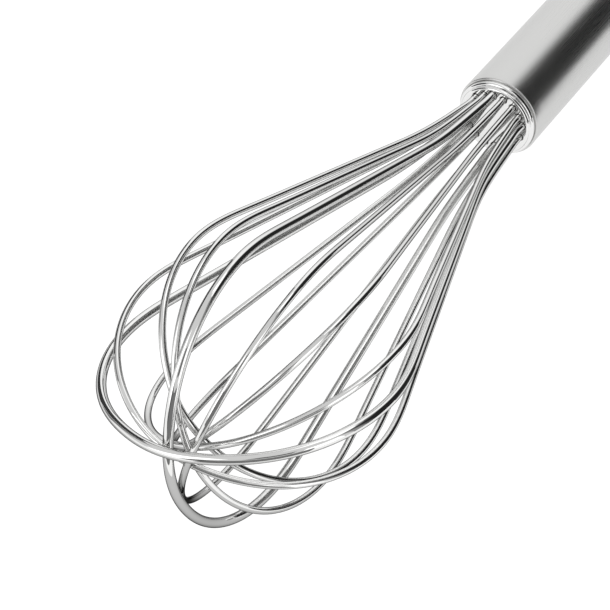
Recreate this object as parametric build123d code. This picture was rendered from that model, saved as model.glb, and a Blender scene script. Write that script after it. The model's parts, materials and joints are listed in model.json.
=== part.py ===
"""Balloon whisk with a tube handle: eight closed wire loops held in a drilled plug.

The whisk is drawn upright on its own axis first: +Z runs from the handle to the tip and z = 0 is the
flat front face of the wire plug. It is then laid on the table in one move, the way it rests: on the
lowest wires of the balloon and on the rim of the end cap. In the row frame the table is z = 0 and
the tip points to +X. All sizes are in millimetres.
"""
import os
from math import acos, asin, cos, degrees, radians, sin, tan

from build123d import (
    Align, Axis, BuildLine, Circle, Cone, Cylinder, Edge, Location, Plane, Polyline, Pos, RegularPolygon,
    Rot, Torus, Vector, Wire, export_step, extrude, make_face, revolve, sweep,
)

# ---- driving dimensions -------------------------------------------------------------------------
HANDLE_R = 12.7            # one inch tube
TUBE_WALL = 0.7
HANDLE_L = 128.0           # tube length
SHOULDER = 2.6             # the plug's face stands this far ahead of the tube's end
SPIGOT_L = 10.0            # length of the plug inside the tube
HOLE_CIRCLE_R = 8.8        # the sixteen wire holes
HOLE_CHAMFER = 0.25
THIN_D, HEAVY_D = 1.9, 2.7  # the two wire gauges
LEG_END = -34.0            # the wire legs end here, inside the handle
ANCHOR_T = 3.0
ANCHOR_BACK = -33.0
RUN = 0.03                 # clearance where one part slides into another

# balloon outline along the wire's centre line: (radius from the axis, height over the face)
MOUTH, STRAIGHT = 0.3, 3.2  # heights where the legs leave the plug and where they start to spread
FLARE = (12.4, 28.0)
BELLY = (47.5, 143.0)
CROWN = (5.7, 156.5)
BEND_MOUTH, BEND_NECK, BEND_FLARE, BEND_BELLY, BEND_CROWN = 12.0, 30.0, 75.0, 38.5, 18.0

# one line per loop: azimuth, tip height over the mean, belly width factor, sideways set of the crown,
# lean of the loop's plane past the plug, wire gauge. The loops cross at the tip one over the other.
LOOPS = (
    (15.0, 0.6, 0.95, -4.6, -0.6, THIN_D),
    (42.0, 7.3, 1.04, 0.1, 2.7, HEAVY_D),
    (61.0, -3.4, 1.05, 1.8, 0.3, THIN_D),
    (82.0, -5.4, 0.985, 0.0, 0.6, THIN_D),
    (104.5, 3.6, 1.025, 0.8, -0.4, THIN_D),
    (127.0, 5.7, 1.0, -1.6, 0.8, HEAVY_D),
    (144.5, -1.5, 0.995, -0.4, 0.3, THIN_D),
    (166.0, -7.4, 0.92, 3.2, 0.5, THIN_D),
)

# back end: domed cap, eye and loose ring
CAP_SPIGOT_L = 9.0
CAP_DOME_H = 5.0
CAP_RIM_H = 1.6
EYE_WIRE_R = 1.6
EYE_HOLE_R = 3.2
EYE_SHANK_R = 2.0
RING_WIRE_R = 1.25
RING_R = 10.0              # ring centre line; it passes through a 25.6 mm sleeve slid over the handle

# rest on the table
ROLL = 110.0               # azimuth that points up
TABLE_GAP = 0.05           # the loose ring stops this far over the table

TUBE_END = -SHOULDER
BACK = TUBE_END - HANDLE_L
BORE_R = HANDLE_R - TUBE_WALL


# ---- wires --------------------------------------------------------------------------------------
def loop_corners(loop):
    """Corners of one loop's centre line. The legs stand upright in the plug; past it the loop leans."""
    azimuth, rise, width, crown_set, lean, _ = loop
    out = Vector(cos(radians(azimuth)), sin(radians(azimuth)), 0)
    side = Vector(-sin(radians(azimuth)), cos(radians(azimuth)), 0) * tan(radians(lean))
    r0 = HOLE_CIRCLE_R

    def half(hand):
        shape = [
            (hand * (r0 + (FLARE[0] - r0) * width) + 0.25 * crown_set, FLARE[1] + 0.3 * rise),
            (hand * (r0 + (BELLY[0] - r0) * width) + 0.7 * crown_set, BELLY[1] + 0.7 * rise),
            (hand * CROWN[0] * width + crown_set, CROWN[1] + rise),
        ]
        shape = [(hand * r0, STRAIGHT)] + shape
        leg = [out * (hand * r0) + Vector(0, 0, z) for z in (LEG_END, MOUTH)]
        return leg + [out * r + (Vector(0, 0, 1) + side) * z for r, z in shape]

    return half(1) + half(-1)[::-1]


def bent_path(corners, bends):
    """Straight runs joined by tangent arcs."""
    edges, last = [], corners[0]
    for before, corner, after, bend in zip(corners, corners[1:], corners[2:], bends):
        a, b = (before - corner).normalized(), (after - corner).normalized()
        half_angle = acos(max(-1, min(1, a.dot(b)))) / 2
        middle = (a + b).normalized()
        reach = bend / tan(half_angle)
        start, end = corner + a * reach, corner + b * reach
        top = corner + middle * (bend / sin(half_angle) - bend)
        edges.append(Edge.make_line(last, start))
        edges.append(Edge.make_three_point_arc(start, top, end))
        last = end
    edges.append(Edge.make_line(last, corners[-1]))
    return Wire(edges)


def loop_path(loop):
    bends = [BEND_MOUTH, BEND_NECK, BEND_FLARE, BEND_BELLY, BEND_CROWN]
    return bent_path(loop_corners(loop), bends + bends[::-1])


def wire_loop(loop):
    path = loop_path(loop)
    start = Plane(origin=path @ 0, z_dir=path % 0)
    return sweep(start * Circle(loop[5] / 2), path=path)


def leg_holes(low, high, chamfered=False):
    """Cutters that fit the legs exactly between two heights, with a small countersink at the face."""
    cutters = []
    up = (Align.CENTER, Align.CENTER, Align.MIN)
    for azimuth, _, _, _, _, gauge in LOOPS:
        for turn in (azimuth, azimuth + 180):
            spot = Rot(0, 0, turn) * Pos(HOLE_CIRCLE_R, 0, low)
            cutters.append(spot * Cylinder(gauge / 2, high - low, align=up))
            if chamfered:
                depth = 2 * HOLE_CHAMFER
                sink = Cone(gauge / 2, gauge / 2 + depth, depth, align=up)
                cutters.append(Rot(0, 0, turn) * Pos(HOLE_CIRCLE_R, 0, -HOLE_CHAMFER) * sink)
    return cutters


# ---- handle -------------------------------------------------------------------------------------
def revolved(points):
    """Solid of revolution about the axis from (radius, height) points."""
    with BuildLine() as line:
        Polyline(*[(r, 0, z) for r, z in points], close=True)
    return revolve(make_face(line.edges()), Axis.Z)


def handle_tube():
    edge = 0.3
    return revolved([
        (BORE_R, TUBE_END), (HANDLE_R - edge, TUBE_END), (HANDLE_R, TUBE_END - edge),
        (HANDLE_R, BACK + edge), (HANDLE_R - edge, BACK), (BORE_R, BACK),
    ])


def arc_points(centre, radius, start, end, count=9):
    """Points on an arc in the (radius, height) half plane, angles in degrees from outward."""
    step = (end - start) / (count - 1)
    return [
        (centre[0] + radius * cos(radians(start + i * step)),
         centre[1] + radius * sin(radians(start + i * step)))
        for i in range(count)
    ]


def wire_plug():
    """Plug with a rounded shoulder: two fine turned beads, then the flat face."""
    bead_1 = arc_points((11.25, -1.75), 0.75, 0, 90)
    bead_2 = arc_points((10.55, -0.65), 0.65, 0, 90)
    profile = [(0, TUBE_END - SPIGOT_L), (BORE_R - 0.5, TUBE_END - SPIGOT_L),
               (BORE_R, TUBE_END - SPIGOT_L + 0.5), (BORE_R, TUBE_END)]
    profile += bead_1 + [(11.2, -1.0)] + bead_2 + [(0, 0)]
    body = revolved(profile)
    return body - leg_holes(TUBE_END - SPIGOT_L - 1, 1, chamfered=True)


def anchor_plate():
    top = ANCHOR_BACK + ANCHOR_T
    plate = Pos(0, 0, top) * Cylinder(BORE_R - RUN, ANCHOR_T, align=(Align.CENTER, Align.CENTER, Align.MAX))
    return plate - leg_holes(ANCHOR_BACK - 1, top + 1)


def sealing_resin():
    """Cast between plug and plate, so it takes exactly the space the legs leave."""
    low, high = ANCHOR_BACK + ANCHOR_T, TUBE_END - SPIGOT_L
    fill = Pos(0, 0, low) * Cylinder(BORE_R, high - low, align=(Align.CENTER, Align.CENTER, Align.MIN))
    return fill - leg_holes(low - 1, high + 1)


# ---- back end -----------------------------------------------------------------------------------
def end_cap():
    rim = BACK - CAP_RIM_H
    crown_r = 4.2
    dome = [(HANDLE_R, rim)]
    for i in range(1, 10):
        t = radians(90 * i / 9)
        dome.append((crown_r + (HANDLE_R - crown_r) * cos(t), rim - CAP_DOME_H * sin(t)))
    inner_r = BORE_R - 1.6
    profile = [
        (EYE_SHANK_R, BACK + 2.0), (inner_r, BACK + 2.0), (inner_r, BACK + CAP_SPIGOT_L),
        (BORE_R - RUN, BACK + CAP_SPIGOT_L), (BORE_R - RUN, BACK + 5.2), (BORE_R - 1.0, BACK + 5.2),
        (BORE_R - 1.0, BACK + 3.6), (BORE_R - RUN, BACK + 3.6), (BORE_R - RUN, BACK),
        (HANDLE_R, BACK),
    ] + dome + [(EYE_SHANK_R, rim - CAP_DOME_H)]
    return revolved(profile)


def cap_seal():
    """Flat sealing ring in the groove round the cap's spigot."""
    low, high = BACK + 3.6, BACK + 5.2
    return revolved([(BORE_R - 1.0, low), (BORE_R, low), (BORE_R, high), (BORE_R - 1.0, high)])


def eye_height():
    """Height of the eye's hole centre."""
    return BACK - CAP_RIM_H - CAP_DOME_H - EYE_HOLE_R - EYE_WIRE_R - 1.7


def hanging_eye():
    """Eye with a collar and a threaded shank through the cap; its hole runs across the axis."""
    seat = BACK - CAP_RIM_H - CAP_DOME_H
    up = (Align.CENTER, Align.CENTER, Align.MIN)
    eye = Pos(0, 0, eye_height()) * Rot(90, 0, 0) * Torus(EYE_HOLE_R + EYE_WIRE_R, EYE_WIRE_R)
    collar = Pos(0, 0, seat - 2.4) * Cylinder(3.2, 2.4, align=up)
    shank = Pos(0, 0, seat) * Cylinder(EYE_SHANK_R, BACK + 7.0 - seat, align=up)
    hole = Pos(0, 0, eye_height()) * Rot(90, 0, 0) * Cylinder(EYE_HOLE_R, 12)
    return Rot(0, 0, ROLL) * (eye + (collar - hole) + shank)


def eye_nut():
    low = BACK + 2.0
    up = (Align.CENTER, Align.CENTER, Align.MIN)
    nut = Pos(0, 0, low) * extrude(RegularPolygon(radius=4.0, side_count=6), 3.2)
    return nut - Pos(0, 0, low - 1) * Cylinder(EYE_SHANK_R, 6, align=up)


def ring_hinge():
    """Height of the ring's bearing line, on the far side of the eye's hole."""
    return eye_height() - EYE_HOLE_R + RING_WIRE_R + 0.06


def hanging_ring(drop):
    """Round ring through the eye, swung down by an angle from the handle's axis."""
    ring = Pos(0, 0, -RING_R) * Rot(0, 90, 0) * Torus(RING_R, RING_WIRE_R)
    return Rot(0, 0, ROLL) * Pos(0, 0, ring_hinge()) * Rot(0, drop, 0) * ring


# ---- lay it on the table ------------------------------------------------------------------------
def up_vector(pitch):
    level = Vector(cos(radians(ROLL)), sin(radians(ROLL)), 0)
    return level * cos(pitch) + Vector(0, 0, sin(pitch))


def lowest_wire(pitch):
    """Depth of the lowest wire below the local origin."""
    up = up_vector(pitch)
    return min(
        min(point.dot(up) for point in loop_path(loop).positions([i / 600 for i in range(601)]))
        - loop[5] / 2
        for loop in LOOPS
    )


def rear_edge(pitch):
    """Depth of the cap's rim below the local origin."""
    return (BACK - CAP_RIM_H) * sin(pitch) - HANDLE_R * cos(pitch)


def resting_pitch():
    """Pitch at which the lowest wire and the cap's rim touch the same table."""
    low, high = 0.0, 0.3
    for _ in range(18):
        pitch = (low + high) / 2
        if lowest_wire(pitch) < rear_edge(pitch):
            low = pitch
        else:
            high = pitch
    return pitch


def table_location(pitch):
    """Local axes to row axes: the axis points to +X and rises by the pitch, ROLL points up."""
    turn = radians(ROLL)
    x_dir = Vector(-cos(turn) * sin(pitch), sin(turn), cos(turn) * cos(pitch))
    z_dir = Vector(cos(pitch), 0, sin(pitch))
    return Plane(origin=(0, 0, -rear_edge(pitch)), x_dir=x_dir, z_dir=z_dir).location


def handle_nodes():
    return {
        "handle_tube": handle_tube(),
        "wire_plug": wire_plug(),
        "anchor_plate": anchor_plate(),
        "sealing_resin": sealing_resin(),
        "end_cap": end_cap(),
        "cap_seal": cap_seal(),
        "hanging_eye": hanging_eye(),
        "eye_nut": eye_nut(),
    }


def main():
    os.makedirs("parts", exist_ok=True)
    pitch = resting_pitch()
    place = table_location(pitch)
    hinge = place.position + Vector(cos(pitch), 0, sin(pitch)) * ring_hinge()
    fall = asin((hinge.Z - RING_WIRE_R - TABLE_GAP) / (2 * RING_R))
    nodes = handle_nodes()
    nodes["hanging_ring"] = hanging_ring(degrees(fall - pitch))
    for number, loop in enumerate(LOOPS, 1):
        nodes[f"wire_loop_{number}"] = wire_loop(loop)
    nodes = {name: place * shape for name, shape in nodes.items()}
    boxes = [shape.bounding_box() for shape in nodes.values()]
    shift = Vector(-(min(b.min.X for b in boxes) + max(b.max.X for b in boxes)) / 2,
                   -(min(b.min.Y for b in boxes) + max(b.max.Y for b in boxes)) / 2, 0)
    for name, shape in nodes.items():
        shape = Location(shift) * shape
        export_step(shape, f"parts/{name}.step")
        box = shape.bounding_box()
        print(name, [round(v, 3) for v in (*box.min, *box.max)], round(shape.volume, 1))
    print("pitch", degrees(pitch), "face centre", place.position + shift, "hinge", hinge + shift,
          "ring below level", degrees(fall))


main()
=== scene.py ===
"""Looks of the balloon whisk: drawn wires, a turned plug and cap, and a brushed handle.

Sizes of the whisk are in millimetres, and the stage is in metres.
"""
import json
import math

import bmesh
import bpy
import numpy as np
from mathutils import Matrix, Vector
from mathutils.geometry import delaunay_2d_cdt


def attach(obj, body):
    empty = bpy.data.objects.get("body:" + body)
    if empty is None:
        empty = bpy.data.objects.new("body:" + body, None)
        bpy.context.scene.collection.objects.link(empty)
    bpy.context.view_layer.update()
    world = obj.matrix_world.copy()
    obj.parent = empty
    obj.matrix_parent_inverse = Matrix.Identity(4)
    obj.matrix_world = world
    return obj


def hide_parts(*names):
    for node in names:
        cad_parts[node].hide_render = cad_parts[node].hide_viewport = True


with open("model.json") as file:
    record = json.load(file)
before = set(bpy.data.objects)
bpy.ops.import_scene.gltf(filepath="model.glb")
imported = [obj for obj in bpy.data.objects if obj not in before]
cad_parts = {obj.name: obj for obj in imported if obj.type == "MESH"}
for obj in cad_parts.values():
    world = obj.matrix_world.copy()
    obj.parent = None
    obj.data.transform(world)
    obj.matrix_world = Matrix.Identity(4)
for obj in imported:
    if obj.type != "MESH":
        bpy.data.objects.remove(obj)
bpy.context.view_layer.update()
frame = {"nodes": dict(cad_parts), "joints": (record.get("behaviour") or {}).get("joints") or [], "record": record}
MM = 0.001


def unit(vector):
    return vector / np.linalg.norm(vector)


# ---- the whisk's own axis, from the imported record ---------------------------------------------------
HANDLE_R, BORE_R = 12.7, 12.0
SHOULDER, HANDLE_L = 2.6, 128.0
TUBE_END = -SHOULDER
BACK = TUBE_END - HANDLE_L
ROLL = math.radians(110.0)
# this mount is in the middle of the handle, and its axis points to the back
grip = next(m for m in frame["record"]["mounts"] if m["name"] == "grip")
AXIS = -unit(np.array(grip["axis"]))
FACE = np.array(grip["pos_m"]) + AXIS * (SHOULDER + HANDLE_L / 2) * MM
UP = unit(np.cross(AXIS, (0.0, 1.0, 0.0)))
UP *= math.copysign(1.0, UP[2])
SIDE = np.cross(AXIS, UP)
LOCAL_X = UP * math.cos(ROLL) - SIDE * math.sin(ROLL)
LOCAL_Y = UP * math.sin(ROLL) + SIDE * math.cos(ROLL)


def to_row(points):
    """Local millimetres (z along the axis, z = 0 on the plug's face) to the frame's metres."""
    p = np.asarray(points, float) * MM
    return FACE + p[..., :1] * LOCAL_X + p[..., 1:2] * LOCAL_Y + p[..., 2:3] * AXIS


# ---- mesh helpers -----------------------------------------------------------------------------------
SHARP = math.radians(35.0)
# any direction that isn't along a wire's first run
ASKEW = (0.3, 0.2, 0.9)
WIRE_SIDES, RING_SIDES = 28, 32


def add_piece(obj, material, body="whisk", replaces=()):
    """Puts a piece in the scene, parents it to its body's empty and hides the CAD nodes that it replaces."""
    obj.data.materials.append(material)
    bpy.context.scene.collection.objects.link(obj)
    if replaces:
        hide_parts(*replaces)
    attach(obj, body)


def circle(count):
    """Angles of evenly spaced points round a circle."""
    return np.linspace(0, 2 * math.pi, count, endpoint=False)


def arc(centre, radius, start, end, count):
    """Points of an arc between two angles in degrees."""
    angles = np.radians(np.linspace(start, end, count))
    return [(centre[0] + radius * math.cos(a), centre[1] + radius * math.sin(a)) for a in angles]


def distances(points):
    """Length along a line of points, at each of them."""
    return np.r_[0, np.cumsum(np.linalg.norm(np.diff(points, axis=0), axis=1))]


def finish_mesh(bm, name):
    """Turns the faces outwards, marks the sharp edges and makes the object."""
    bmesh.ops.recalc_face_normals(bm, faces=bm.faces)
    for face in bm.faces:
        face.smooth = True
    for edge in bm.edges:
        edge.smooth = len(edge.link_faces) == 2 and edge.calc_face_angle(0.0) < SHARP
    mesh = bpy.data.meshes.new(name)
    bm.to_mesh(mesh)
    bm.free()
    return bpy.data.objects.new(name, mesh)


def grid_object(name, rings, uv_u, uv_v, capped=False):
    """Mesh through rings of points, either capped or joined last ring to first. UVs are millimetres."""
    rows, cols, _ = rings.shape
    faces, uvs = [], []
    for i in range(rows - 1 if capped else rows):
        n = (i + 1) % rows
        for j in range(cols):
            k = (j + 1) % cols
            faces.append((i * cols + j, i * cols + k, n * cols + k, n * cols + j))
            u0, u1 = uv_u[i], uv_u[i + 1]
            v0, v1 = uv_v[j], uv_v[j + 1]
            uvs += [(u0, v0), (u0, v1), (u1, v1), (u1, v0)]
    if capped:
        faces.append(tuple(reversed(range(cols))))
        faces.append(tuple((rows - 1) * cols + j for j in range(cols)))
        uvs += [(0.0, 0.0)] * (2 * cols)
    mesh = bpy.data.meshes.new(name)
    mesh.from_pydata([tuple(v) for v in rings.reshape(-1, 3)], [], faces)
    layer = mesh.uv_layers.new(name="mm")
    layer.data.foreach_set("uv", np.array(uvs, np.float32).ravel())
    bm = bmesh.new()
    bm.from_mesh(mesh)
    bpy.data.meshes.remove(mesh)
    return finish_mesh(bm, name)


def tube(name, path, radius):
    """Round wire along a path in local millimetres, with its section carried along without twist."""
    tangent = np.gradient(path, axis=0)
    tangent /= np.linalg.norm(tangent, axis=1)[:, None]
    normal = unit(np.cross(tangent[0], ASKEW))
    turn = circle(WIRE_SIDES)
    rings = []
    for t, p in zip(tangent, path):
        normal = unit(normal - t * normal.dot(t))
        other = np.cross(t, normal)
        rings.append(p + radius * (np.cos(turn)[:, None] * normal + np.sin(turn)[:, None] * other))
    around = np.linspace(0, 2 * math.pi * radius, WIRE_SIDES + 1)
    return grid_object(name, to_row(np.array(rings)), distances(path), around, capped=True)


def lathe(name, profile, segments):
    """Closed (radius, height) profile turned round the axis."""
    turn = circle(segments)
    columns = np.stack([np.cos(turn), np.sin(turn)], 1)
    rings = np.array([np.column_stack([columns * r, np.full(segments, z)]) for r, z in profile])
    along = distances(profile + profile[:1])
    around = np.linspace(0, 2 * math.pi * HANDLE_R, segments + 1)
    return grid_object(name, to_row(rings), along, around)


def round_ring(name, centre, axis, radius, wire_r, segments):
    """Ring of round wire, with its centre and axis in the frame."""
    first = unit(np.cross(axis, (0.0, 0.0, 1.0)))
    second = np.cross(axis, first)
    rings = []
    for t in circle(segments):
        out = first * math.cos(t) + second * math.sin(t)
        rings.append([centre + MM * ((radius + wire_r * math.cos(s)) * out + wire_r * math.sin(s) * axis)
                      for s in circle(RING_SIDES)])
    along = np.linspace(0, 2 * math.pi * radius, segments + 1)
    around = np.linspace(0, 2 * math.pi * wire_r, RING_SIDES + 1)
    return grid_object(name, np.array(rings), along, around)


# ---- materials --------------------------------------------------------------------------------------
def new_material(name):
    """Empty node material and its tree."""
    mat = bpy.data.materials.new(name)
    mat.use_nodes = True
    mat.node_tree.nodes.clear()
    return mat, mat.node_tree


def node(tree, kind, inputs=None, **settings):
    """New node. inputs gives each socket, by name or number, a value or the output that feeds it."""
    made = tree.nodes.new(kind)
    for key, value in settings.items():
        setattr(made, key, value)
    for key, value in (inputs or {}).items():
        if isinstance(value, bpy.types.NodeSocket):
            tree.links.new(value, made.inputs[key])
        else:
            made.inputs[key].default_value = value
    return made


def surface(tree, kind, inputs):
    """Shader wired to the material's output."""
    shader = node(tree, kind, inputs)
    node(tree, "ShaderNodeOutputMaterial", {"Surface": shader.outputs[0]})


def noise(tree, place, scale, detail=2.0, rough=0.5):
    """Noise at a place, from 0 to 1."""
    sockets = {"Vector": place, "Scale": scale, "Detail": detail, "Roughness": rough}
    return node(tree, "ShaderNodeTexNoise", sockets).outputs["Fac"]


def spread(tree, value, source, target):
    """The value taken from the source range to the target range."""
    sockets = {"Value": value, "From Min": source[0], "From Max": source[1],
               "To Min": target[0], "To Max": target[1]}
    return node(tree, "ShaderNodeMapRange", sockets).outputs["Result"]


# shares of the fine lines and the slow clouds in the unevenness, and how far the tone then goes
LINE_SHARE, CLOUD_SHARE, TONE = 0.4, 0.6, (0.965, 1.035)
# hair scratches: angle to the grain, number per millimetre along and across, and added roughness
HAIR_LEAN, HAIR_SCALE, HAIR_ROUGH = math.radians(1.4), (0.045, 2.2, 1.0), 0.12


def steel(name, colour, rough, uneven, grain, grain_depth, scratch=0.0, cloud=48.0, edge=0.88):
    """Stainless steel, with roughness give or take uneven.

    grain is the fine lines' number per millimetre along and round the piece. The depths and the size
    of the slow clouds of tone are in millimetres, and edge is the tint at grazing angles.
    """
    mat, tree = new_material(name)
    uv = node(tree, "ShaderNodeUVMap", uv_map="mm").outputs["UV"]
    stretched = node(tree, "ShaderNodeMapping", {"Vector": uv, "Scale": (*grain, 1.0)}).outputs["Vector"]
    lines = noise(tree, stretched, 1.0, 3.0, 0.65)
    # slow change of tone, as hands and polishing leave it
    place = node(tree, "ShaderNodeTexCoord").outputs["Object"]
    clouds = noise(tree, place, 1.0 / (cloud * MM))
    part = node(tree, "ShaderNodeMath", {0: lines, 1: LINE_SHARE}, operation="MULTIPLY").outputs[0]
    shares = {0: clouds, 1: CLOUD_SHARE, 2: part}
    mixed = node(tree, "ShaderNodeMath", shares, operation="MULTIPLY_ADD").outputs[0]
    roughness = spread(tree, mixed, (0.3, 0.7), (rough - uneven, rough + uneven))
    tint = spread(tree, mixed, (0.25, 0.75), TONE)
    base = node(tree, "ShaderNodeMix", data_type="RGBA", blend_type="MULTIPLY")
    base.inputs["Factor"].default_value = 1.0
    base.inputs["A"].default_value = (*colour, 1.0)
    tree.links.new(tint, base.inputs["B"])
    bump = node(tree, "ShaderNodeBump", {"Strength": 1.0, "Distance": grain_depth * MM, "Height": lines})
    if scratch:
        lean = {"Vector": uv, "Rotation": (0.0, 0.0, HAIR_LEAN), "Scale": HAIR_SCALE}
        hair = noise(tree, node(tree, "ShaderNodeMapping", lean).outputs["Vector"], 1.0, 1.0)
        # only the noise's peaks make a scratch, so they are sparse
        pick = spread(tree, hair, (0.70, 0.76), (0.0, 1.0))
        cut = {"Strength": 1.0, "Distance": scratch * MM, "Height": pick, "Normal": bump.outputs["Normal"]}
        bump = node(tree, "ShaderNodeBump", cut, invert=True)
        rougher = {0: pick, 1: HAIR_ROUGH, 2: roughness}
        roughness = node(tree, "ShaderNodeMath", rougher, operation="MULTIPLY_ADD").outputs[0]
    surface(tree, "ShaderNodeBsdfPrincipled", {
        "Base Color": base.outputs["Result"],
        "Metallic": 1.0,
        "Roughness": roughness,
        "Specular Tint": (edge, edge, edge, 1.0),
        "Normal": bump.outputs["Normal"],
    })
    return mat


def plain(name, colour, rough, metallic=0.0):
    """Finely mottled material of the pieces hidden inside the handle."""
    mat, tree = new_material(name)
    mottle = noise(tree, node(tree, "ShaderNodeTexCoord").outputs["Object"], 900.0)
    ramp = node(tree, "ShaderNodeMix", data_type="RGBA")
    ramp.inputs["A"].default_value = (*[c * 0.85 for c in colour], 1.0)
    ramp.inputs["B"].default_value = (*[c * 1.1 for c in colour], 1.0)
    tree.links.new(mottle, ramp.inputs["Factor"])
    surface(tree, "ShaderNodeBsdfPrincipled", {
        "Base Color": ramp.outputs["Result"],
        "Metallic": metallic,
        "Roughness": spread(tree, mottle, (0.0, 1.0), (rough - 0.08, rough + 0.08)),
    })
    return mat


SATIN = steel("satin_steel", (0.59, 0.59, 0.583), 0.29, 0.03, (0.05, 9.0), 0.0012,
              scratch=0.002, cloud=84.0)
POLISHED = steel("polished_wire", (0.80, 0.80, 0.793), 0.018, 0.008, (0.10, 6.0), 0.0004, edge=0.02)
TURNED = steel("turned_steel", (0.78, 0.78, 0.775), 0.045, 0.015, (7.0, 0.05), 0.0006)
ROLLED = plain("rolled_steel", (0.55, 0.55, 0.56), 0.4, 1.0)
RESIN = plain("cast_resin", (0.55, 0.48, 0.36), 0.35)
RUBBER = plain("seal_rubber", (0.03, 0.03, 0.03), 0.7)


# ---- wires ------------------------------------------------------------------------------------------
HOLE_CIRCLE_R, LEG_END = 8.8, -34.0
THIN_D, HEAVY_D = 1.9, 2.7
MOUTH, STRAIGHT = 0.3, 3.2
# corners of a loop: distance from the axis and height, then the share of the crown's set and rise
FLARE, BELLY = (12.4, 28.0, 0.25, 0.3), (47.5, 143.0, 0.7, 0.7)
CROWN = (5.7, 156.5)
BENDS = [12.0, 30.0, 75.0, 38.5, 18.0]
# azimuth, tip height over the mean, belly width factor, sideways set of the crown, lean, gauge
LOOPS = (
    (15.0, 0.6, 0.95, -4.6, -0.6, THIN_D),
    (42.0, 7.3, 1.04, 0.1, 2.7, HEAVY_D),
    (61.0, -3.4, 1.05, 1.8, 0.3, THIN_D),
    (82.0, -5.4, 0.985, 0.0, 0.6, THIN_D),
    (104.5, 3.6, 1.025, 0.8, -0.4, THIN_D),
    (127.0, 5.7, 1.0, -1.6, 0.8, HEAVY_D),
    (144.5, -1.5, 0.995, -0.4, 0.3, THIN_D),
    (166.0, -7.4, 0.92, 3.2, 0.5, THIN_D),
)
RUN_STEP, WIRE_STEP = 2.5, 0.9
# the smoothing's reach along the wire, and where it begins and is complete over the plug's face
EASE_REACH, EASE_FROM, EASE_FULL = 7.0, 4.0, 18.0


def loop_corners(loop):
    """Corner points of one closed loop, from one leg's end round the tip to the other's."""
    azimuth, rise, width, crown_set, lean, _ = loop
    a = math.radians(azimuth)
    out = np.array([math.cos(a), math.sin(a), 0.0])
    up = np.array([0.0, 0.0, 1.0])
    leaning = up + np.array([-math.sin(a), math.cos(a), 0.0]) * math.tan(math.radians(lean))

    def half(hand):
        start = hand * HOLE_CIRCLE_R
        shape = [(start, STRAIGHT)]
        for reach, height, set_share, rise_share in (FLARE, BELLY):
            wide = hand * (HOLE_CIRCLE_R + (reach - HOLE_CIRCLE_R) * width)
            shape.append((wide + set_share * crown_set, height + rise_share * rise))
        shape.append((hand * CROWN[0] * width + crown_set, CROWN[1] + rise))
        leg = [out * start + up * z for z in (LEG_END, MOUTH)]
        return leg + [out * r + leaning * z for r, z in shape]

    return half(1) + half(-1)[::-1]


def bent_path(corners, bends):
    """Straight runs joined by tangent arcs, as points."""
    points = [corners[0]]

    def run_to(q):
        p = points[-1]
        n = max(1, math.ceil(np.linalg.norm(q - p) / RUN_STEP))
        points.extend(p + (q - p) * i / n for i in range(1, n + 1))

    for before, corner, after, bend in zip(corners, corners[1:], corners[2:], bends):
        a, b = unit(before - corner), unit(after - corner)
        half = math.acos(max(-1.0, min(1.0, float(a @ b)))) / 2
        start = corner + a * bend / math.tan(half)
        centre = corner + unit(a + b) * bend / math.sin(half)
        end = corner + b * bend / math.tan(half)
        sweep = math.pi - 2 * half
        run_to(start)
        n = max(3, math.ceil(bend * sweep / WIRE_STEP))
        for i in range(1, n + 1):
            from_start = math.sin((1 - i / n) * sweep) * (start - centre)
            from_end = math.sin(i / n * sweep) * (end - centre)
            points.append(centre + (from_start + from_end) / math.sin(sweep))
    run_to(corners[-1])
    return np.array(points)


def eased(path):
    """Even steps along the wire, with the curvature of the arcs and runs flowing into one another."""
    length = distances(path)
    at = np.linspace(0, length[-1], int(length[-1] / WIRE_STEP))
    even = np.column_stack([np.interp(at, length, path[:, k]) for k in range(3)])
    half = int(3 * EASE_REACH / at[1])
    weight = np.exp(-0.5 * (np.arange(-half, half + 1) * at[1] / EASE_REACH) ** 2)
    weight /= weight.sum()

    def smooth(p):
        before = 2 * p[0] - p[half:0:-1]
        after = 2 * p[-1] - p[-2:-half - 2:-1]
        q = np.vstack([before, p, after])
        return np.column_stack([np.convolve(q[:, k], weight, "valid") for k in range(3)])

    soft = smooth(even)
    soft += smooth(even - soft)
    # the wire keeps its exact line inside the plug and blends into the eased one past its mouth
    blend = np.clip((even[:, 2:3] - EASE_FROM) / (EASE_FULL - EASE_FROM), 0.0, 1.0)
    blend = blend * blend * (3 - 2 * blend)
    return even * (1 - blend) + soft * blend


def build_wires():
    for number, loop in enumerate(LOOPS, 1):
        path = bent_path(loop_corners(loop), BENDS + BENDS[::-1])
        wire = tube(f"wire_{number}", eased(path), loop[5] / 2)
        add_piece(wire, POLISHED, replaces=[f"wire_loop_{number}"])


# ---- handle tube ------------------------------------------------------------------------------------
# radii of the tube's rounded edges: outer front lip, inner front, outer back
LIP_R, BORE_EDGE_R, BACK_EDGE_R = 0.48, 0.17, 0.3


def build_tube():
    inner = arc((BORE_R + BORE_EDGE_R, TUBE_END - BORE_EDGE_R), BORE_EDGE_R, 180, 90, 6)
    front = arc((HANDLE_R - LIP_R, TUBE_END - LIP_R), LIP_R, 90, 0, 8)
    long_side = [(HANDLE_R, z) for z in np.linspace(TUBE_END - 4, BACK + 4, 40)]
    rear = arc((HANDLE_R - BACK_EDGE_R, BACK + BACK_EDGE_R), BACK_EDGE_R, 0, -90, 6)
    obj = lathe("tube_satin", inner + front + long_side + rear + [(BORE_R, BACK)], 320)
    add_piece(obj, SATIN, replaces=["handle_tube"])


# ---- plug -------------------------------------------------------------------------------------------
FACE_R, PLUG_FIT_R, SPIGOT_L, SPIGOT_CHAMFER = 10.4, BORE_R - 0.01, 10.0, 0.5
# the two turned beads as centre and radius, and the bottom of the groove between them
FACE_BEAD, TUBE_BEAD = ((FACE_R, -0.65), 0.65), ((11.25, -1.74), 0.74)
GROOVE = (11.2, -0.95)
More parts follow.
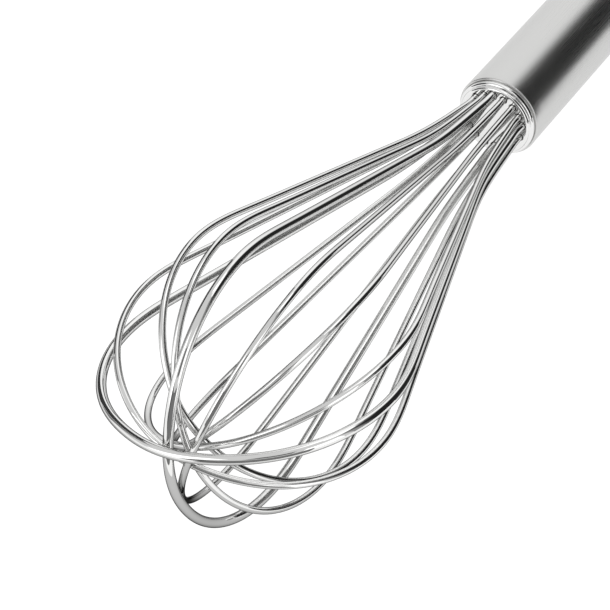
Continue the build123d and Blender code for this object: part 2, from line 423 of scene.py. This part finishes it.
# widest countersink over the wire, gap round the wire in its hole, and the modelled depth of the hole
SINK_W, SLACK, HOLE_DEPTH = 0.33, 0.17, 2.0
# least metal between two countersinks, on each side, and between one and the edge of the face
HALF_LAND, EDGE_LAND = 0.01, 0.03
PLUG_SIDES, HOLE_SIDES = 320, 48
# a face whose middle is nearer to a hole's centre than this share of the countersink is in the hole
IN_HOLE = 0.997


def plug_profile():
    """(radius, height) line of the plug's outside, from the face's edge to the spigot's end."""
    low = TUBE_END - SPIGOT_L
    line = [(FACE_R, 0.0)] + arc(*FACE_BEAD, 90, 0, 14) + [GROOVE] + arc(*TUBE_BEAD, 90, 0, 14)
    line += [(PLUG_FIT_R, TUBE_END), (PLUG_FIT_R, low + SPIGOT_CHAMFER)]
    line.append((PLUG_FIT_R - SPIGOT_CHAMFER, low))
    return line[:1] + [p for before, p in zip(line, line[1:]) if math.dist(before, p) > 1e-4]


def plug_holes():
    """Centre, wire radius and countersink radius of each hole. Neighbouring countersinks never meet."""
    wires = []
    for azimuth, *_, gauge in LOOPS:
        for turn in (azimuth, azimuth + 180.0):
            a = math.radians(turn)
            wires.append(((HOLE_CIRCLE_R * math.cos(a), HOLE_CIRCLE_R * math.sin(a)), gauge / 2))
    holes = []
    for centre, wire_r in wires:
        others = [wire for wire in wires if wire[0] != centre]
        gap = min(math.dist(centre, other) - wire_r - other_r for other, other_r in others)
        room = min(SINK_W, gap / 2 - HALF_LAND, FACE_R - HOLE_CIRCLE_R - wire_r - EDGE_LAND)
        holes.append((centre, wire_r, wire_r + room))
    return holes


def build_plug():
    """Turned plug: two rounded beads, and a flat face with sixteen countersunk holes."""
    bm = bmesh.new()
    layer = bm.loops.layers.uv.new("mm")

    def ring(radius, z, count, centre=(0.0, 0.0)):
        t = circle(count)
        return np.column_stack([centre[0] + radius * np.cos(t), centre[1] + radius * np.sin(t),
                                np.full(count, z)])

    def add_face(corners, local):
        """Face with UVs of its distance from the axis and its angle, unbroken across the face."""
        angles = [math.atan2(p[1], p[0]) for p in local]
        for loop, p, a in zip(bm.faces.new(corners).loops, local, angles):
            a += 2 * math.pi * round((angles[0] - a) / (2 * math.pi))
            loop[layer].uv = (math.hypot(p[0], p[1]) + abs(p[2]), a * HANDLE_R)

    def strip(levels):
        """Walls between rings of points. Gives the last ring's vertices."""
        made = [[bm.verts.new(q) for q in to_row(level)] for level in levels]
        for upper, lower, high, low in zip(made, made[1:], levels, levels[1:]):
            for j in range(len(upper)):
                k = (j + 1) % len(upper)
                add_face((upper[j], upper[k], lower[k], lower[j]), (high[j], high[k], low[k], low[j]))
        return made[-1]

    bm.faces.new(strip([ring(r, z, PLUG_SIDES) for r, z in plug_profile()]))
    outlines = [ring(FACE_R, 0.0, PLUG_SIDES)]
    holes = plug_holes()
    for centre, wire_r, wide in holes:
        bore_r = wire_r + SLACK
        levels = ((wide, 0.0), (bore_r, bore_r - wide), (bore_r, -HOLE_DEPTH))
        bm.faces.new(strip([ring(r, z, HOLE_SIDES, centre) for r, z in levels]))
        outlines.append(ring(wide, 0.0, HOLE_SIDES, centre))
    # the flat face is one sheet between its edge and the sixteen countersinks
    edges, first = [], 0
    for outline in outlines:
        edges += [(first + j, first + (j + 1) % len(outline)) for j in range(len(outline))]
        first += len(outline)
    flat = [Vector(p[:2]) for outline in outlines for p in outline]
    points, _, faces, *_ = delaunay_2d_cdt(flat, edges, [], 1, 1e-6)
    local = [(p.x, p.y, 0.0) for p in points]
    made = [bm.verts.new(q) for q in to_row(local)]
    for face in faces:
        middle = sum((points[k] for k in face), Vector((0.0, 0.0))) / len(face)
        if all((middle - Vector(centre)).length > wide * IN_HOLE for centre, _, wide in holes):
            add_face([made[k] for k in face], [local[k] for k in face])
    bmesh.ops.remove_doubles(bm, verts=bm.verts, dist=0.002 * MM)
    bmesh.ops.delete(bm, geom=[v for v in bm.verts if not v.link_faces], context="VERTS")
    add_piece(finish_mesh(bm, "plug_turned"), TURNED, replaces=["wire_plug"])


# ---- cap, eye and ring ------------------------------------------------------------------------------
CAP_RIM_H, CAP_DOME_H, CAP_CROWN_R, CAP_BEVEL = 1.6, 5.0, 4.2, 0.15
CAP_SPIGOT_L, CAP_WALL, CAP_FLOOR, CAP_FIT_R = 9.0, 1.6, 2.0, BORE_R - 0.03
SEAT = BACK - CAP_RIM_H - CAP_DOME_H
EYE_SHANK_R, EYE_HOLE_R, EYE_WIRE_R, EYE_NECK_L = 2.0, 3.2, 1.6, 1.7
EYE_Z = SEAT - EYE_HOLE_R - EYE_WIRE_R - EYE_NECK_L
RING_R, RING_WIRE_R, RING_CLEARANCE = 10.0, 1.25, 0.05
# the collar's outer radius, and the radius of its profile's ends, which stay off the axis
COLLAR_R, COLLAR_PIN_R = 3.6, 0.02
HINGE = np.array(next(j for j in frame["joints"] if j["name"] == "ring_swing")["pos_m"])


def build_cap():
    rim = BACK - CAP_RIM_H
    bore = BORE_R - CAP_WALL
    spigot_end = BACK + CAP_SPIGOT_L
    profile = [(EYE_SHANK_R, BACK + CAP_FLOOR), (bore, BACK + CAP_FLOOR), (bore, spigot_end),
               (CAP_FIT_R, spigot_end), (CAP_FIT_R, BACK + 0.02),
               (HANDLE_R - CAP_BEVEL, BACK), (HANDLE_R, BACK - CAP_BEVEL)]
    profile += [(CAP_CROWN_R + (HANDLE_R - CAP_CROWN_R) * math.cos(t), rim - CAP_DOME_H * math.sin(t))
                for t in np.linspace(0, math.pi / 2, 28)]
    profile.append((EYE_SHANK_R, SEAT))
    add_piece(lathe("cap_turned", profile, 256), TURNED, replaces=["end_cap"])


def build_eye():
    """The eye's loop, and a rounded collar that fairs it into the cap."""
    centre = to_row([0.0, 0.0, EYE_Z])
    across = np.array([0.0, 1.0, 0.0])
    loop = round_ring("eye_loop", centre, across, EYE_HOLE_R + EYE_WIRE_R, EYE_WIRE_R, 96)
    add_piece(loop, POLISHED, replaces=["hanging_eye"])
    profile = [(COLLAR_PIN_R, SEAT - 1.9)] + arc((2.3, SEAT - 1.6), 0.9, -90, 0, 8)
    profile += arc((COLLAR_R, SEAT - 0.4), 0.4, 180, 90, 6)
    profile += [(COLLAR_R, SEAT + 0.02), (COLLAR_PIN_R, SEAT + 0.02)]
    add_piece(lathe("eye_collar", profile, 96), TURNED)


def build_ring():
    """The loose ring, lying back from the hinge with its far side just over the table."""
    fall = math.asin((HINGE[2] / MM - RING_WIRE_R - RING_CLEARANCE) / (2 * RING_R))
    reach = np.array([-math.cos(fall), 0.0, -math.sin(fall)])
    axis = np.array([math.sin(fall), 0.0, -math.cos(fall)])
    ring = round_ring("loose_ring", HINGE + reach * RING_R * MM, axis, RING_R, RING_WIRE_R, 160)
    add_piece(ring, POLISHED, "ring", ["hanging_ring"])


# ---- stage, in metres -------------------------------------------------------------------------------
FLOOR_HALF = 6.0
# x of the middle of the standing cards' circle, and of the disc on the floor
WALL_X, GROUND_X = 0.06, 0.165
CELLS, FINE_CELLS = 24, 48


def build_floor():
    s = FLOOR_HALF
    mesh = bpy.data.meshes.new("floor")
    mesh.from_pydata([(-s, -s, 0), (s, -s, 0), (s, s, 0), (-s, s, 0)], [], [(0, 1, 2, 3)])
    mat, tree = new_material("pale_floor")
    surface(tree, "ShaderNodeBsdfPrincipled", {
        "Base Color": (0.33, 0.33, 0.33, 1.0),
        "Emission Color": (1.0, 1.0, 1.0, 1.0),
        "Emission Strength": 0.84,
        "Roughness": 0.9,
        "Specular IOR Level": 0.0,
    })
    mesh.materials.append(mat)
    obj = bpy.data.objects.new("floor", mesh)
    bpy.context.scene.collection.objects.link(obj)


def card(name, verts, faces, strength):
    """White or grey glowing card that is seen only in the whisk's reflections."""
    mesh = bpy.data.meshes.new(name)
    mesh.from_pydata(verts, [], faces)
    mat, tree = new_material(name)
    surface(tree, "ShaderNodeEmission", {"Color": (1.0, 1.0, 1.0, 1.0), "Strength": strength})
    mesh.materials.append(mat)
    obj = bpy.data.objects.new(name, mesh)
    bpy.context.scene.collection.objects.link(obj)
    obj.visible_camera = False
    obj.visible_diffuse = False
    obj.visible_shadow = False
    obj.visible_transmission = False
    return obj


def patch(name, az, el, strength, distance=1.6, cells=CELLS):
    """Part of a sphere round the whisk between two azimuths and two elevations."""
    verts = [(distance * math.cos(e) * math.cos(a), distance * math.cos(e) * math.sin(a),
              distance * math.sin(e))
             for e in np.radians(np.linspace(*el, cells)) for a in np.radians(np.linspace(*az, cells))]
    faces = [(j * cells + i, j * cells + i + 1, (j + 1) * cells + i + 1, (j + 1) * cells + i)
             for j in range(cells - 1) for i in range(cells - 1)]
    return card(name, verts, faces, strength)


def wall(name, az, distance, height, strength):
    """Curved card standing on the floor round the balloon."""
    verts = [(WALL_X + distance * math.cos(a), distance * math.sin(a), z)
             for z in (0.001, height) for a in np.radians(np.linspace(*az, CELLS))]
    faces = [(i, i + 1, CELLS + i + 1, CELLS + i) for i in range(CELLS - 1)]
    card(name, verts, faces, strength)


def ground(name, radius, strength):
    """Disc lying on the floor, centred under the balloon's tip."""
    verts = [(GROUND_X + radius * math.cos(a), radius * math.sin(a), 0.0004) for a in circle(FINE_CELLS)]
    card(name, verts, [tuple(range(FINE_CELLS))], strength)


def build_light():
    world = bpy.data.worlds.new("studio")
    world.use_nodes = True
    background = world.node_tree.nodes["Background"]
    background.inputs["Color"].default_value = (1.0, 1.0, 1.0, 1.0)
    background.inputs["Strength"].default_value = 0.74
    bpy.context.scene.world = world
    # behind on the left: a black card with softer grey round it
    patch("card_left_core", (104, 172), (3, 58), 0.02, 1.5)
    patch("card_left_mid", (97, 176), (0, 65), 0.10, 1.6)
    patch("card_left_grey", (87, 180), (-2, 68), 0.32, 1.7)
    # bright panels round the sides and overhead
    patch("panel_left", (50, 80), (6, 48), 1.5)
    patch("panel_right", (-50, -20), (5, 50), 1.8)
    patch("panel_back", (-173, -127), (-3, 70), 1.14)
    patch("panel_top", (100, 260), (69, 84), 1.5, 1.8, FINE_CELLS)
    # dark cards round the camera, and low ones close to the balloon
    patch("card_camera", (4, 40), (36, 54), 0.15)
    patch("card_front", (-17, 46), (2, 27), 0.12)
    wall("wall_right", (-108, -66), 0.20, 0.14, 0.05)
    wall("wall_left", (112, 142), 0.28, 0.09, 0.06)
    wall("wall_right_end", (-66, -53), 0.21, 0.14, 0.25)
    wall("wall_front", (0, 48), 0.24, 0.14, 0.20)
    ground("ground_card", 0.095, 0.66)
    key = bpy.data.lights.new("key", "AREA")
    key.energy = 3.0
    key.size = 1.2
    lamp = bpy.data.objects.new("key", key)
    bpy.context.scene.collection.objects.link(lamp)
    lamp.location = (0.2, 0.5, 1.5)
    lamp.rotation_euler = (Vector((0.05, 0.0, 0.0)) - lamp.location).to_track_quat("-Z", "Y").to_euler()
    lamp.visible_glossy = False


def build_backdrop():
    """White dome seen only by the camera, so that a low view shows no edge of the floor."""
    dome = patch("backdrop", (-180, 180), (-3, 90), 1.0, 5.5, FINE_CELLS)
    dome.visible_camera = True
    dome.visible_glossy = False


# ---- camera -----------------------------------------------------------------------------------------
# where the camera stands and the point it looks at, from the middle of the plug's face, in metres
CAMERA_POINT, LOOK_POINT = (0.40552, 0.14008, 0.46492), (0.09071, -0.00688, 0.00333)
LENS, SENSOR, TILT = 128.8, 36.0, math.radians(9.715)


def build_camera():
    data = bpy.data.cameras.new("camera")
    data.sensor_width = SENSOR
    data.lens = LENS
    data.clip_start = 0.05
    cam = bpy.data.objects.new("camera", data)
    bpy.context.scene.collection.objects.link(cam)
    cam.location = Vector(FACE) + Vector(CAMERA_POINT)
    aim = (Vector(FACE) + Vector(LOOK_POINT) - cam.location).to_track_quat("-Z", "Y")
    cam.rotation_euler = (aim.to_matrix() @ Matrix.Rotation(TILT, 3, "Z")).to_euler()
    bpy.context.scene.camera = cam


build_wires()
build_tube()
build_plug()
build_cap()
build_eye()
build_ring()
# the pieces that nobody sees keep their CAD shape
HIDDEN = {"anchor_plate": ROLLED, "sealing_resin": RESIN, "cap_seal": RUBBER, "eye_nut": ROLLED}
for name, mat in HIDDEN.items():
    mesh = frame["nodes"][name].data
    mesh.materials.clear()
    mesh.materials.append(mat)
build_floor()
build_light()
build_backdrop()
build_camera()
bpy.context.scene.view_settings.view_transform = "Standard"
bpy.context.scene.view_settings.look = "None"
bpy.context.view_layer.update()
